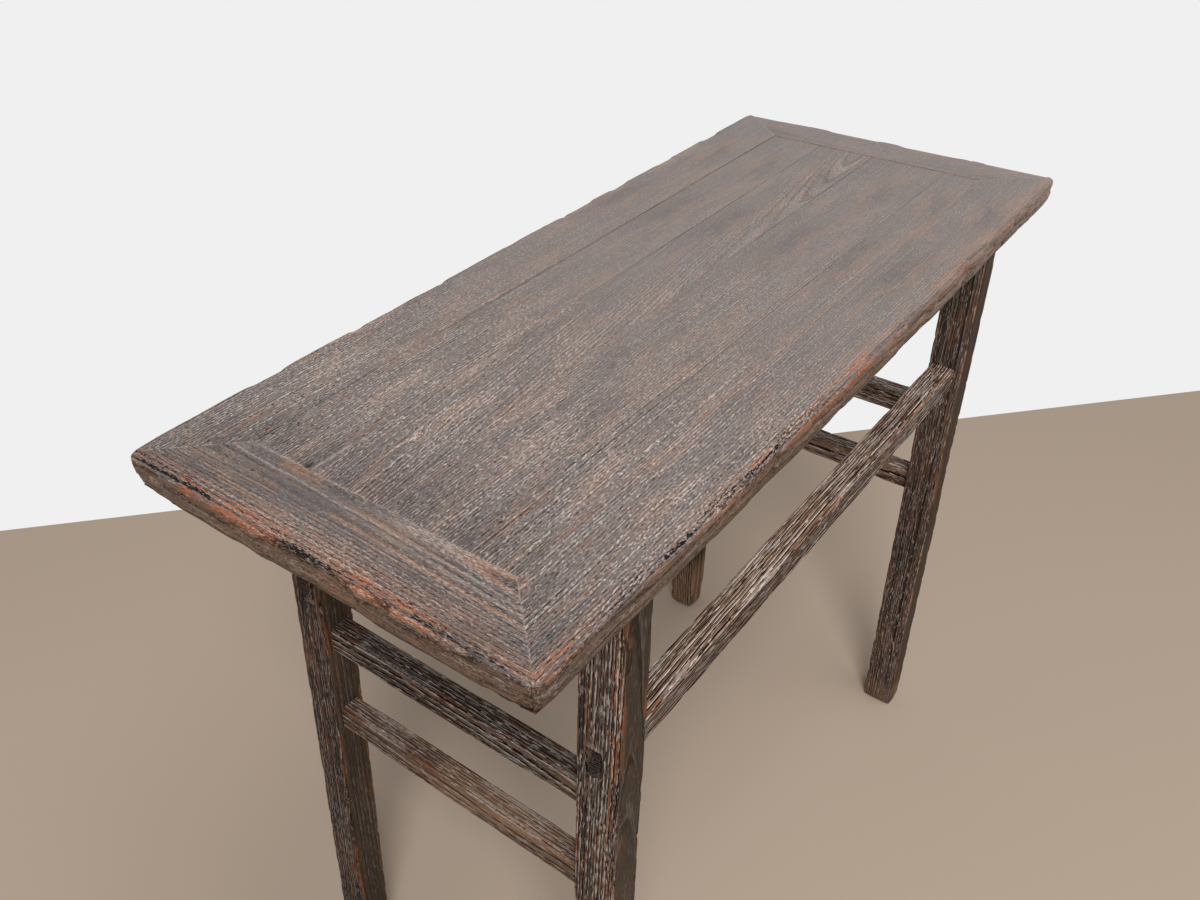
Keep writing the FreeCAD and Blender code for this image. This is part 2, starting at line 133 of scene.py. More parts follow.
def noise(places, seed):
    """Smooth noise from -1 to 1, one cell per unit, at an array of places (n, dimensions)."""
    if places.ndim == 1:
        places = places[:, None]
    cells = np.floor(places)
    inside = places - cells
    inside = inside ** 3 * (inside * (inside * 6 - 15) + 10)
    total = np.zeros(len(places))
    for corner in product((0, 1), repeat=places.shape[1]):
        step = np.array(corner)
        weight = np.prod(np.where(step, inside, 1 - inside), axis=1)
        total += weight * hash_share(cells + step, seed)
    return total * 2 - 1


def rise(low, high, values):
    """0 up to low, 1 from high on, smooth between; falls instead if low is above high."""
    share = np.clip((values - low) / (high - low), 0, 1)
    return share * share * (3 - 2 * share)


def bump(values, middle, width):
    return np.exp(-((values - middle) / width) ** 2)


def stretch(values, low, high, soft):
    """1 between low and high, fading out over a soft distance at both ends."""
    return rise(low - soft, low + soft, values) * rise(high + soft, high - soft, values)


def half_turn(angle):
    """The same angle, brought between minus and plus half a turn."""
    return (angle + math.pi) % (2 * math.pi) - math.pi


# The wood of a piece

WANDER_CELLS = (230, 50, 50)
FINE_WANDER_CELLS = (75, 15, 15)
FINE_WANDER = 0.35
UNEVEN_RINGS = 0.45
UNEVEN_OVER = 2.3
GROOVE_PHASE = 0.3
GROOVE_WIDTH = 0.2


@dataclass
class Timber:
    """A piece's place in its log: growth rings about a pith line, bent round knots.

    origin is a place in the piece, which runs along axis; its growth is seen from above,
    or for a leg from +x. pith is the pith's place (across, up) from the origin, and tilt
    how it drifts per unit of length. ring is the usual ring width and wander how far the
    rings stray. A knot is (along, across, strength, length, width).
    """
    seed: int
    origin: tuple
    axis: int
    pith: tuple
    ring: float
    tilt: tuple = (0, 0)
    wander: float = 1.5
    knots: tuple = ()

    def place(self, points):
        """Points as (along, across, up) in the piece."""
        along = np.eye(3)[self.axis]
        up = np.eye(3)[2 if self.axis < 2 else 0]
        basis = np.array([along, np.cross(up, along), up])
        return (points - np.array(self.origin, float)) @ basis.T

    def from_pith(self, local):
        """How far each local place is from the pith, across and up."""
        along, across, up = local.T
        pith_across = self.pith[0] + self.tilt[0] * along
        pith_up = self.pith[1] + self.tilt[1] * along
        return across - pith_across, up - pith_up

    def grain(self, local, count):
        """Places as (along, through the rings, round the rings), in millimetres."""
        out_across, out_up = self.from_pith(local)
        facing = math.atan2(-self.pith[1], -self.pith[0])
        angle = half_turn(np.arctan2(out_up, out_across) - facing)
        around = angle * np.hypot(out_across, out_up)
        return np.column_stack([local[:, 0], count * self.ring, around])

    def rings(self, local):
        """The ring that each local place lies in, as a number that grows from the pith."""
        along, across, _ = local.T
        radius = np.hypot(*self.from_pith(local))
        radius = radius + self.wander * noise(local / WANDER_CELLS, self.seed)
        fine = noise(local / FINE_WANDER_CELLS, self.seed + 1)
        radius = radius + self.wander * FINE_WANDER * fine
        for knot_along, knot_across, strength, length, width in self.knots:
            away = ((along - knot_along) / length) ** 2 + ((across - knot_across) / width) ** 2
            radius = radius + strength * np.exp(-away)
        count = radius / self.ring
        return count + UNEVEN_RINGS * noise(count / UNEVEN_OVER, self.seed + 2)

    def grooves(self, local, count):
        """How deep the soft early wood of each ring has worn, from 0 to 1."""
        ring = np.floor(count)
        depth = 0.35 + 0.65 * hash_share(ring[:, None], self.seed + 3)
        fade = rise(-0.6, 0.4, noise(local / (60, 6, 6), self.seed + 4))
        return bump(count - ring, GROOVE_PHASE, GROOVE_WIDTH) * depth * (0.4 + 0.6 * fade)


# Lofted skins

class Skin:
    """A closed grid of points: stations along a piece times points round its section."""

    def __init__(self, points, arris):
        self.points = points
        self.arris = np.broadcast_to(arris, points.shape[:2])
        along = np.gradient(points, axis=0)
        around = np.roll(points, -1, axis=1) - np.roll(points, 1, axis=1)
        normals = np.cross(around, along)
        normals /= np.maximum(np.linalg.norm(normals, axis=2, keepdims=True), 1e-9)
        outward = points - points.mean(axis=1, keepdims=True)
        self.normals = normals * np.sign((normals * outward).sum())

    def shaped(self, heights):
        """The points moved along their normals."""
        return self.points + self.normals * heights.reshape(self.points.shape[:2])[:, :, None]


CAP_SHARES = (0.93, 0.8, 0.62, 0.42, 0.2)
CAP_GRAIN = 2.4


def capped(grid, rough, seed):
    """Close both ends of a grid with rings that shrink towards the middle, and roughen them."""
    caps = []
    for rim, next_rim in ((grid[0], grid[1]), (grid[-1], grid[-2])):
        middle = rim.mean(axis=0)
        beyond = middle - next_rim.mean(axis=0)
        beyond /= np.linalg.norm(beyond)
        rings = []
        for share in CAP_SHARES:
            ring = middle + (rim - middle) * share
            height = rough * (noise(ring / CAP_GRAIN, seed) - 0.5)
            rings.append(ring + beyond * height[:, None])
        caps.append(rings)
    return np.concatenate([caps[0][::-1], grid, caps[1]])


def grid_faces(stations, around):
    """The quads of a capped grid, and the two fans of triangles that close its ends."""
    ring = np.arange(around)
    beside = (ring + 1) % around
    start = np.arange(stations - 1)[:, None] * around
    quads = [start + ring, start + beside, start + beside + around, start + ring + around]
    quads = np.stack(quads, axis=-1).reshape(-1, 4)
    last = (stations - 1) * around
    pole = np.full(around, stations * around)
    first_fan = np.stack([beside, ring, pole], axis=-1)
    last_fan = np.stack([ring + last, beside + last, pole + 1], axis=-1)
    return quads, first_fan, last_fan


def outward_faces(grid):
    """The faces of a capped grid, turned so that they look outwards."""
    faces = grid_faces(*grid.shape[:2])
    quad = grid.reshape(-1, 3)[faces[0][len(faces[0]) // 2]]
    normal = np.cross(quad[1] - quad[0], quad[2] - quad[1])
    middle = grid[len(grid) // 2].mean(axis=0)
    if normal @ (quad.mean(axis=0) - middle) < 0:
        faces = [part[:, ::-1] for part in faces]
    return faces


def add_field(mesh, name, values, around):
    """A value or a vector for each point; each of the two poles has the mean of its ring."""
    rims = [rim.mean(axis=0, keepdims=True) for rim in (values[:around], values[-around:])]
    values = np.concatenate([values, *rims]).astype(np.float32)
    kind, key = ("FLOAT_VECTOR", "vector") if values.ndim == 2 else ("FLOAT", "value")
    mesh.attributes.new(name, kind, "POINT").data.foreach_set(key, values.ravel())


def make_mesh(name, grid, fields, material):
    """A mesh object of a capped grid, with its fields as attributes."""
    poles = [grid[0].mean(axis=0), grid[-1].mean(axis=0)]
    points = np.concatenate([grid.reshape(-1, 3), poles]) / METRE
    faces = [face for part in outward_faces(grid) for face in part.tolist()]
    mesh = bpy.data.meshes.new(name)
    mesh.from_pydata(points.tolist(), [], faces)
    mesh.shade_smooth()
    for field, values in fields.items():
        add_field(mesh, field, values, grid.shape[1])
    mesh.materials.append(material)
    return add_object(name, mesh)


def stations_between(start, end, step, close=(), extra=()):
    """Places from start to end about a step apart, closer near both ends, with extra ones."""
    count = max(2, int(round(abs(end - start) / step)) + 1)
    places = [np.linspace(start, end, count)]
    places += [[start + distance, end - distance] for distance in close]
    places += [[place for place in extra if start < place < end]]
    return np.unique(np.concatenate(places))


WORN_RADIUS = 0.5
BESIDE_SHARP = 0.2
ARC_STEP = 0.9


def corner_arc(corner, before, after, radius):
    """The arc that rounds a corner between the corner before it and the one after it."""
    before = (before - corner) / np.linalg.norm(before - corner)
    after = (after - corner) / np.linalg.norm(after - corner)
    half_angle = math.acos(np.clip(before @ after, -1, 1)) / 2
    run = radius / math.tan(half_angle)
    bisector = (before + after) / np.linalg.norm(before + after)
    centre = corner + bisector * radius / math.sin(half_angle)
    start = corner + before * run
    end = corner + after * run
    count = max(3, int(math.ceil(radius * (math.pi - 2 * half_angle) / ARC_STEP)) + 1)
    from_angle = math.atan2(*(start - centre)[::-1])
    turn = half_turn(math.atan2(*(end - centre)[::-1]) - from_angle)
    angles = from_angle + turn * np.linspace(0, 1, count)
    return centre + radius * np.stack([np.cos(angles), np.sin(angles)], axis=-1)


def section_outline(corners, step, arris_reach=7.0):
    """Points round a section, and how near each is to a worn corner, from 0 to 1.

    A corner is (across, up, radius); its two sides meet at any angle. step may be a
    list with one spacing per side, the side from a corner to the next.
    """
    places = [np.array(corner[:2], float) for corner in corners]
    worn = [float(corner[2] >= WORN_RADIUS) for corner in corners]
    steps = step if isinstance(step, list) else [step] * len(corners)
    arcs = []
    for index, place in enumerate(places):
        after = places[(index + 1) % len(places)]
        arcs.append(corner_arc(place, places[index - 1], after, corners[index][2]))
    outline = []
    nearness = []
    for index, arc in enumerate(arcs):
        following = (index + 1) % len(arcs)
        side = arcs[following][0] - arc[-1]
        length = np.linalg.norm(side)
        count = max(1, int(round(length / steps[index])))
        edge = BESIDE_SHARP / length
        shares = np.unique(np.concatenate([np.linspace(0, 1, count + 1)[1:-1], [edge, 1 - edge]]))
        near_start = worn[index] * np.exp(-(shares * length / arris_reach) ** 2)
        near_end = worn[following] * np.exp(-((1 - shares) * length / arris_reach) ** 2)
        outline += [arc, arc[-1] + side * shares[:, None]]
        nearness += [np.full(len(arc), worn[index]), np.maximum(near_start, near_end)]
    return np.concatenate(outline), np.concatenate(nearness)


def lofted(axis, along, across, up):
    """The points of a piece along x (axis 0) or y (axis 1), stations times points round it."""
    along, across, up = np.broadcast_arrays(along, across, up)
    order = (along, across, up) if axis == 0 else (across, along, up)
    return np.stack(order, axis=-1)


def bar_skin(axis, places, low, high, radii, step, **options):
    """A four-sided bar between two (across, up) corners; radii are the lower and the upper."""
    lower, upper = radii
    outline, arris = section_outline([
        (low[0], low[1], lower),
        (high[0], low[1], lower),
        (high[0], high[1], upper),
        (low[0], high[1], upper),
    ], step, **options)
    return Skin(lofted(axis, places[:, None], *outline.T), arris)


# Colours and the wood's material

def colour(red, green, blue):
    """A colour given by its screen values from 0 to 255, as linear shares."""
    def linear(value):
        share = value / 255
        return share / 12.92 if share <= 0.04045 else ((share + 0.055) / 1.055) ** 2.4
    return (linear(red), linear(green), linear(blue), 1.0)


def wood_look(**values):
    """What a wood looks like: its amounts, and its colours given by screen values."""
    for key, value in values.items():
        if isinstance(value, tuple):
            values[key] = colour(*value)
    return SimpleNamespace(**values)


TOP_LOOK = wood_look(
    dark=(78, 70, 68), mid=(109, 99, 95), pale=(132, 121, 116),
    side_dark=(60, 44, 31), side_pale=(140, 103, 70), side_streaks=0.8, side_bare=0.6,
    line=0.5, fibre=1.05, fine=0.76, ring_tone=0.2, cloud=0.5,
    smudge=(147, 116, 94), smudge_amount=0.34,
    rust_dark=(116, 84, 64), rust=(157, 105, 71), rust_amount=0.7,
    worn=(154, 78, 24), tan=(164, 128, 104),
    pore=(34, 30, 30), pore_amount=0.78, groove_dark=0.22,
    wax=(190, 177, 167), wax_amount=0.95, fleck_length=3.8, row=0.1, row_end=0.95,
    roughness=0.42, shine=0.5,
)
LEG_LOOK = wood_look(
    dark=(36, 31, 28), mid=(80, 65, 55), pale=(120, 101, 88),
    side_dark=(56, 46, 37), side_pale=(92, 75, 61), side_streaks=0.25, side_bare=0.3,
    line=1.1, fibre=0.8, fine=0.78, ring_tone=1.2, cloud=0.4,
    smudge=(112, 76, 52), smudge_amount=0.4,
    rust_dark=(88, 56, 38), rust=(142, 90, 60), rust_amount=0.9,
    worn=(122, 72, 42), tan=(140, 109, 85),
    pore=(17, 15, 16), pore_amount=0.9, groove_dark=1.0,
    wax=(192, 182, 174), wax_amount=0.95, fleck_length=12.0, row=0.18, row_end=0.72,
    roughness=0.5, shine=0.25,
)
STRETCHER_LOOK = wood_look(
    dark=(54, 43, 36), mid=(124, 101, 85), pale=(170, 146, 126),
    # The side colours here go on the long stretchers' upright faces. They are a greyer, darker copy
    # of the face wood: partly the wood's own tone, partly painted shade.
    side_dark=(48, 41, 37), side_pale=(104, 90, 80), side_streaks=0.8, side_bare=0.3,
    line=1.6, fibre=1.5, fine=0.85, ring_tone=0.7, cloud=0.4,
    smudge=(134, 98, 72), smudge_amount=0.4,
    rust_dark=(98, 62, 42), rust=(152, 96, 60), rust_amount=0.9,
    worn=(150, 112, 84), tan=(164, 134, 112),
    pore=(24, 20, 20), pore_amount=0.95, groove_dark=1.0,
    wax=(224, 212, 202), wax_amount=0.75, fleck_length=17.0, row=0.3, row_end=0.66,
    roughness=0.5, shine=0.25,
)
BATTEN_LOOK = wood_look(
    dark=(66, 52, 40), mid=(104, 84, 65), pale=(130, 108, 86),
    side_dark=(66, 52, 40), side_pale=(110, 90, 70), side_streaks=0.5, side_bare=0.3,
    line=0.6, fibre=0.7, fine=1.0, ring_tone=0.7, cloud=0.8,
    smudge=(120, 92, 68), smudge_amount=0.3,
    rust_dark=(96, 66, 44), rust=(134, 94, 62), rust_amount=0.4,
    worn=(140, 104, 74), tan=(140, 112, 86),
    pore=(40, 33, 28), pore_amount=0.5, groove_dark=0.3,
    wax=(160, 146, 130), wax_amount=0.15, fleck_length=5.0, row=0.1, row_end=0.95,
    roughness=0.75, shine=0.3,
)

# A Mix node's sockets for colours
MIX_FACTOR = 0
MIX_FIRST = 6
MIX_SECOND = 7
MIX_RESULT = 2


@dataclass
class Value:
    """A node's output, to be added to, multiplied and stepped by further nodes."""
    shader: object
    socket: object

    def __add__(self, other):
        return self.shader.math("ADD", self, other)

    def __mul__(self, other):
        return self.shader.math("MULTIPLY", self, other)

    def larger(self, other):
        return self.shader.math("MAXIMUM", self, other)

    def centred(self, gain):
        """The value's distance from a half, times a gain."""
        return self * gain + -gain / 2

    def step(self, low, high):
        """0 below low, 1 above high, smooth between; falls if low is above high."""
        inputs = {"Value": self, "From Min": low, "From Max": high}
        return self.shader.node("MapRange", inputs, interpolation_type="SMOOTHSTEP")


class Shader:
    """Short ways to add and link the nodes of its owner, a material or a world."""

    def __init__(self, owner, surface):
        owner.use_nodes = True
        self.owner = owner
        self.tree = owner.node_tree
        self.surface = self.tree.nodes[surface]

    def fill(self, node, inputs):
        """Set a node's inputs, or link them to values."""
        for name, value in inputs.items():
            if isinstance(value, Value):
                self.tree.links.new(value.socket, node.inputs[name])
            else:
                node.inputs[name].default_value = value

    def node(self, kind, inputs, output=0, **settings):
        node = self.tree.nodes.new(f"ShaderNode{kind}")
        for name, value in settings.items():
            setattr(node, name, value)
        self.fill(node, inputs)
        return Value(self, node.outputs[output])

    def field(self, name, output="Fac"):
        return self.node("Attribute", {}, output, attribute_name=name)

    def math(self, operation, first, second=0.0):
        return self.node("Math", {0: first, 1: second}, operation=operation)

    def mix(self, amount, first, second):
        inputs = {MIX_FACTOR: amount, MIX_FIRST: first, MIX_SECOND: second}
        return self.node("Mix", inputs, MIX_RESULT, data_type="RGBA")

    def noise(self, place, detail):
        return self.node("TexNoise", {"Vector": place, "Scale": 1.0, "Detail": detail}, "Fac")


FIELDS = ("worn", "tan", "soot", "pits", "rubbed", "side", "calm", "dim", "dust")


class Wood(Shader):
    """Old open-grained wood. From each ring's start come its pores, black where they have
    worn into a groove, then a rust streak, then a row of pale flecks, then plain late wood.

    The field wood is a place in the piece, count the ring it lies in, and grain a place
    along, through and round the rings, so that what is drawn out along it follows them.
    Each of FIELDS is a value of the same name here.
    """

    def __init__(self, name, look, shift):
        super().__init__(bpy.data.materials.new(name), "Principled BSDF")
        self.look = look
        self.shift = shift
        for field in FIELDS:
            setattr(self, field, self.field(field))
        self.strength = self.calm * -0.8 + 1.0
        self.crisp = self.strength * self.strength
        self.faced = self.side * (look.side_streaks - 1) + 1.0
        self.add_noises()
        base = self.streaks(self.smudges(self.ground()))
        self.set_surface(self.flecks(self.pores(base)))

    def long_noise(self, vector, along, across, offset, detail=2.0):
        """Noise stretched along the grain; along and across are its cells' sizes."""
        shift = self.shift + offset
        place = self.node("Mapping", {
            "Vector": vector,
            "Location": (shift, shift * 0.37, shift * 0.71),
            "Scale": (METRE / along, METRE / across, METRE / across),
        })
        return self.noise(place, detail)

    def ring_noise(self, along, ring, length, offset):
        """A share of its own for each ring, changing slowly along it."""
        ring = ring * 1.37 + (self.shift + offset)
        return self.noise(self.node("CombineXYZ", {0: along * (METRE / length), 1: ring}), 1.0)

    def add_noises(self):
        """Noises drawn out along the grain or the piece, and shares of each ring."""
        wood = self.field("wood", "Vector")
        grain = self.field("grain", "Vector")
        count = self.field("count")
        fine = self.look.fine
        length = self.look.fleck_length
        self.line = self.long_noise(grain, 60, 1.3 * fine, 0.0)
        self.dash = self.long_noise(grain, length * 1.3, 1.15 * fine, 4.1, 1.0)
        self.fleck = self.long_noise(grain, length, 1.05 * fine, 6.9, 1.0)
        self.speck = self.long_noise(wood, 3.2, 1.6, 3.1)
        self.fibre = self.long_noise(wood, 20, 1.1 * fine, 9.7, 3.0)
        self.cloud = self.long_noise(wood, 150, 50, 11.9, 3.0)
        self.smear = self.long_noise(wood, 95, 22, 23.3, 4.0)
        along = self.node("SeparateXYZ", {0: wood})
        ring = self.math("FLOOR", count)
        self.phase = self.math("FRACT", count)
        self.ring_tone = self.ring_noise(along, ring, 420, 1.7)
        self.groove_share = self.ring_noise(along, ring, 240, 13.3)
        self.rust_share = self.ring_noise(along, ring, 110, 17.9)
        self.fleck_share = self.ring_noise(along, ring, 170, 19.3)

    def ground(self):
        """The plain wood, dark to pale along its fibres, with tones of its own on the sides, which
        on the long stretchers are partly painted shade.
        """
        look = self.look
        lines = self.line.centred(look.line) + self.fibre.centred(look.fibre)
        lines = lines + self.ring_tone.centred(look.ring_tone)
        tone = lines * self.strength + 0.5 + self.cloud.centred(look.cloud)
        tone = tone + self.dim * -0.5 + self.calm * -0.12
        face = self.mix(tone.step(0.1, 0.5), look.dark, look.mid)
        face = self.mix(tone.step(0.5, 0.9), face, look.pale)
        side = self.mix(tone.step(0.2, 0.8), look.side_dark, look.side_pale)
        return self.mix(self.side, face, side)

    def smudges(self, base):
        level = self.smear + self.fibre.centred(0.35) + self.speck.centred(0.2)
        level = level + self.rubbed * 0.12
        smudged = level.step(0.48, 0.72) * self.look.smudge_amount * self.faced
        return self.mix(smudged, base, self.look.smudge)

    def streaks(self, base):
        """Rust streaks in the rings, and bare wood, orange or tan, where a field says so."""
        look = self.look
        late = self.phase.step(0.24, 0.4) * self.phase.step(0.74, 0.52)
        level = self.rust_share * 0.6 + self.fibre * 0.4 + self.rubbed * 0.2
        rusty = level.step(0.48, 0.58) * late * self.strength * self.faced * look.rust_amount
        rust = self.mix(self.line.step(0.35, 0.65), look.rust_dark, look.rust)
        base = self.mix(rusty, base, rust)
        level = self.line * 0.5 + self.fibre * 0.5
        worn = self.worn * level.step(0.38, 0.58)
        base = self.mix(worn, base, self.mix(worn, look.rust, look.worn))
        return self.mix(self.tan * level.step(0.3, 0.5), base, look.tan)

    def pores(self, base):
        """Black grooves and dashes where each ring starts, and black dashes in the pits."""
        look = self.look
        early = self.phase.step(0.0, 0.1) * self.phase.step(0.42, 0.26)
        level = self.groove_share * 0.7 + self.fibre * 0.3
        grooves = level.step(0.36, 0.46) * early * self.strength * look.groove_dark
        level = self.dash + early * 0.12 + self.pits * 0.29
        dashes = level.step(0.62, 0.68) * self.crisp * (self.pits * 0.6 + look.pore_amount)
        self.dark = dashes.larger(grooves)
        return self.mix(self.dark, base, look.pore)

    def flecks(self, base):
        """Pale wax in rows of flecks, then dust, then soot over all."""
        look = self.look
        row = self.phase.step(0.3, 0.45) * self.phase.step(look.row_end, look.row_end - 0.2)
        row = row * self.fleck_share.step(0.42, 0.58)
        level = self.fleck + row * look.row + self.pits * 0.02 + self.cloud.centred(0.15)
        bare = self.dim * -0.7 + 1.0 + self.side * -look.side_bare
        waxed = level.step(0.62, 0.67) * self.crisp * bare * look.wax_amount
        base = self.mix(waxed, base, look.wax)
        base = self.mix(self.dust * self.speck.step(0.35, 0.55), base, look.wax)
        return self.mix(self.soot * 0.94, base, look.pore)

    def set_surface(self, base):
        """Colour, gloss and fine relief; pores and soot are dull, and so are the sides."""
        shine = self.look.shine
        gloss = self.dark.larger(self.soot) * (-0.95 * shine) + shine
        height = (self.line * 0.4 + self.fibre * 0.6) * self.strength + self.dark * -0.8
        self.fill(self.surface, {"Specular IOR Level": shine})
        self.fill(self.surface, {
            "Base Color": base,
            "Roughness": self.dark * 0.3 + self.look.roughness,
            "Specular IOR Level": gloss * (self.side * -0.6 + 1.0),
            "Normal": self.node("Bump", {"Strength": 0.7, "Distance": 0.0005, "Height": height}),
        })


class Wear:
    """What has happened to a piece's surface: heights, and fields from 0 to 1 for its colours."""

    def __init__(self, skin, timber):
        self.points = skin.points.reshape(-1, 3)
        self.x, self.y, self.z = self.points.T
        self.on_top = rise(top - 3.0, top - 1.0, self.z)
        self.normals = skin.normals.reshape(-1, 3)
        self.arris = skin.arris.reshape(-1)
        self.local = timber.place(self.points)
        self.heights = np.zeros(len(self.points))
        self.fields = {field: np.zeros(len(self.points)) for field in FIELDS}

    def add(self, near=1.0, **amounts):
        """Add amounts times near to fields, or as depth= take them off the surface."""
        for field, amount in amounts.items():
            if field == "depth":
                self.heights -= near * amount
            else:
                self.fields[field] += near * amount


def wear_down(state, timber, relief, wear, wave=0.3, warm=0.8, narrow=3):
    """The wear that every piece has.

    relief is the depth of the grain's grooves, wear how much the arrises are rounded off,
    nibbled and chipped, wave the height of the long waves, warm how much bare wood shows
    along the arrises and narrow how closely it keeps to them.
    """
    seed = timber.seed
    groove = timber.grooves(state.local, timber.rings(state.local))
    nibble = rise(-0.1, 0.7, noise(state.points / (26, 26, 14), seed + 5))
    chip = rise(0.45, 0.75, noise(state.points / (11, 11, 9), seed + 6))
    state.add(depth=relief * groove * (1 + 0.6 * state.arris))
    state.add(depth=wave * (1 - noise(state.points / 85, seed + 7)) / 2)
    state.add(depth=wear * state.arris ** 2 * (0.25 + 0.9 * nibble + 1.2 * chip))
    rubbed_through = rise(-0.4, 0.5, noise(state.local / (40, 9, 9), seed + 8))
    state.add(worn=warm * state.arris ** narrow * rubbed_through)


def dress(node, slot, skin, timber, material, suffix="skin", rough=0.0, ages=(), **wear):
    """Wear a skin, colour it and put it in place of its solid.

    rough is the roughness of the ends. Each of ages adds what is special to the piece.
    """
    state = Wear(skin, timber)
    wear_down(state, timber, **wear)
    for age in ages:
        age(state)
    grid = capped(skin.shaped(state.heights), rough, timber.seed + 9)
    grid = np.clip(grid, table_low, table_high)
    cap = len(CAP_SHARES) * grid.shape[1]
    fields = {}
    for field, values in state.fields.items():
        fields[field] = np.pad(np.clip(values, 0, 1), (cap, cap), mode="edge")
    local = timber.place(grid.reshape(-1, 3))
    fields["count"] = timber.rings(local)
    fields["grain"] = timber.grain(local, fields["count"]) / METRE
    fields["wood"] = local / METRE
    piece = make_mesh(f"{node}_{suffix}", grid, fields, material)
    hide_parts(node)
    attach(piece, "root")


# Sizes of the pieces, from the solids

table_low, table_high = (np.array(corner) * METRE for corner in cad_box)
half_length = table_high[0]
half_depth = table_high[1]
top = table_high[2]
underside = node_box("top_long_rail_front")[0][2]
inner_front = node_box("top_long_rail_front")[1][1]
inner_back = node_box("top_long_rail_back")[0][1]
inner_left = node_box("top_end_rail_left")[1][0]
inner_right = node_box("top_end_rail_right")[0][0]
panel_low, panel_high = node_box("panel_plank_2")
tenon_low, tenon_high = node_box("front_long_stretcher")
seams = [inner_front]
seams += [node_box(f"panel_plank_{index}")[0][1] for index in (2, 3, 4)]
seams += [inner_back]

LAND_DEPTH = 13.5
EDGE_SETBACK = 6.0
EDGE_BULGE_SETBACK = 1.5
EDGE_BULGE_SHARE = 0.45
PLAN_RADII = {(-1, -1): 12.0, (-1, 1): 13.0, (1, -1): 12.0, (1, 1): 11.0}
ARRIS_RADIUS = 6.0
SEAM_RADIUS = 0.06
LEG_SECTION = np.array([42.0, 45.0])
LEG_RADIUS = 3.0
LEG_OUTER_RADIUS = 8.0
SHOULDER_SINK = 2.0
TENON_THICKNESS = 16.0
LONG_STEP = 4.5
CLOSE_STATIONS = (0.5, 1.1, 2.0, 3.2)

rail_thickness = top - underside
land_height = rail_thickness - LAND_DEPTH
bulge_height = land_height * EDGE_BULGE_SHARE


def rail_outline(width):
    """A rail's section as (outwards from the inner face, up), with its moulded edge."""
    return section_outline([
        (0, 0, 0.5),
        (width - EDGE_SETBACK, 0, 1.2),
        (width - EDGE_BULGE_SETBACK, bulge_height, 5.0),
        (width, land_height, 5.0),
        (width, rail_thickness, ARRIS_RADIUS),
        (0, rail_thickness, SEAM_RADIUS),
    ], [5.0, 1.6, 1.6, 1.3, 1.15, 5.0])


def edge_setback(up):
    """How far the moulded edge stands back from the top's outer faces at a height in the rail."""
    moulding = np.interp(up, [0, bulge_height, land_height], [EDGE_SETBACK, EDGE_BULGE_SETBACK, 0])
    risen = np.clip(up - (rail_thickness - ARRIS_RADIUS), 0, ARRIS_RADIUS)
    return moulding + ARRIS_RADIUS - np.sqrt(ARRIS_RADIUS ** 2 - risen ** 2)


def round_plan(points):
    """Bring points beyond the rounded plan corners of the top onto their arcs."""
    radius = np.zeros(points.shape[:-1])
    for (end, side), corner_radius in PLAN_RADII.items():
        radius[(points[..., 0] * end > 0) & (points[..., 1] * side > 0)] = corner_radius
    centre = np.array([half_length, half_depth]) - radius[..., None]
    radius -= edge_setback(points[..., 2] - underside)
    beyond = np.abs(points[..., :2]) - centre
    reach = np.hypot(*np.moveaxis(np.maximum(beyond, 0), -1, 0))
    outside = (beyond > 0).all(axis=-1) & (reach > radius)
    scale = np.where(outside, radius / np.maximum(reach, 1e-6), 1)[..., None]
    pulled = np.sign(points[..., :2]) * (centre + np.maximum(beyond, 0) * scale)
    rounded = points.copy()
    rounded[..., :2] = np.where(outside[..., None], pulled, points[..., :2])
    return rounded


def rail_skin(side, axis, outer, width, ends, step):
    """A mitred rail. ends gives, for each end, its place at the inner and the outer face."""
    outline, arris = rail_outline(width)
    out, up = outline.T
    shares = out / width
    start = ends[0][0] + (ends[0][1] - ends[0][0]) * shares
    end = ends[1][0] + (ends[1][1] - ends[1][0]) * shares
    length = abs(ends[1][1] - ends[0][1])
    run = stations_between(0, length, step, close=CLOSE_STATIONS)[:, None] / length
    along = start + (end - start) * run
    points = lofted(axis, along, side * (outer - width + out), underside + up)
    return Skin(round_plan(points), arris)


# What time did to the top

def handled_top(state):
    """The near end is rough and dry; the far end is rubbed smooth."""
    blotch = noise(state.points / (170, 60, 60), 5)
    upper = rise(top - 12.0, top - 6.0, state.z)
    state.add(calm=0.58 * rise(-430, 200, state.x + 110 * blotch) * upper)
    state.add(dim=0.6 * rise(-380, -470, state.x + 20 * blotch) * state.on_top)


# For each corner its end, its side, and how deep it is chipped, at all heights and below
CORNER_CHIPS = ((-1, -1, 1.6, 2.6), (-1, 1, 0.4, 1.0), (1, -1, 1.2, 1.2), (1, 1, 0.8, 0.8))


def chipped_corners(state):
    low = rise(top - 12, underside, state.z)
    for end, side, depth, depth_below in CORNER_CHIPS:
        away = np.hypot(state.x - end * half_length, state.y - side * half_depth)
        state.add(depth=depth * bump(away, 0, 10) + depth_below * low * bump(away, 0, 22))


def mitre_lines(state):
    """Pale dust stands in the mitres, which run from the inner to the outer corners."""
    inner_x = np.where(state.x < 0, -inner_left, inner_right)
    width_x = half_length - inner_x
    width_y = half_depth - inner_back
    away = (np.abs(state.x) - inner_x) * width_y - (np.abs(state.y) - inner_back) * width_x
    away = away / np.hypot(width_x, width_y)
    patchy = 0.5 + 0.5 * noise(state.points / 9, 17)
    state.add(dust=0.6 * bump(away, 0, 0.7) * state.on_top * patchy)


# Distances from the top's outer face, and the width of each orange line
ORANGE_LINES = ((1.6, 0.9), (8.2, 1.3))
PIT_LINE = 4.6
SALMON_LINE = 12
PALE_RING_REACH = 150
PALE_RING_START = 13
PALE_RING_DRIFT = 8


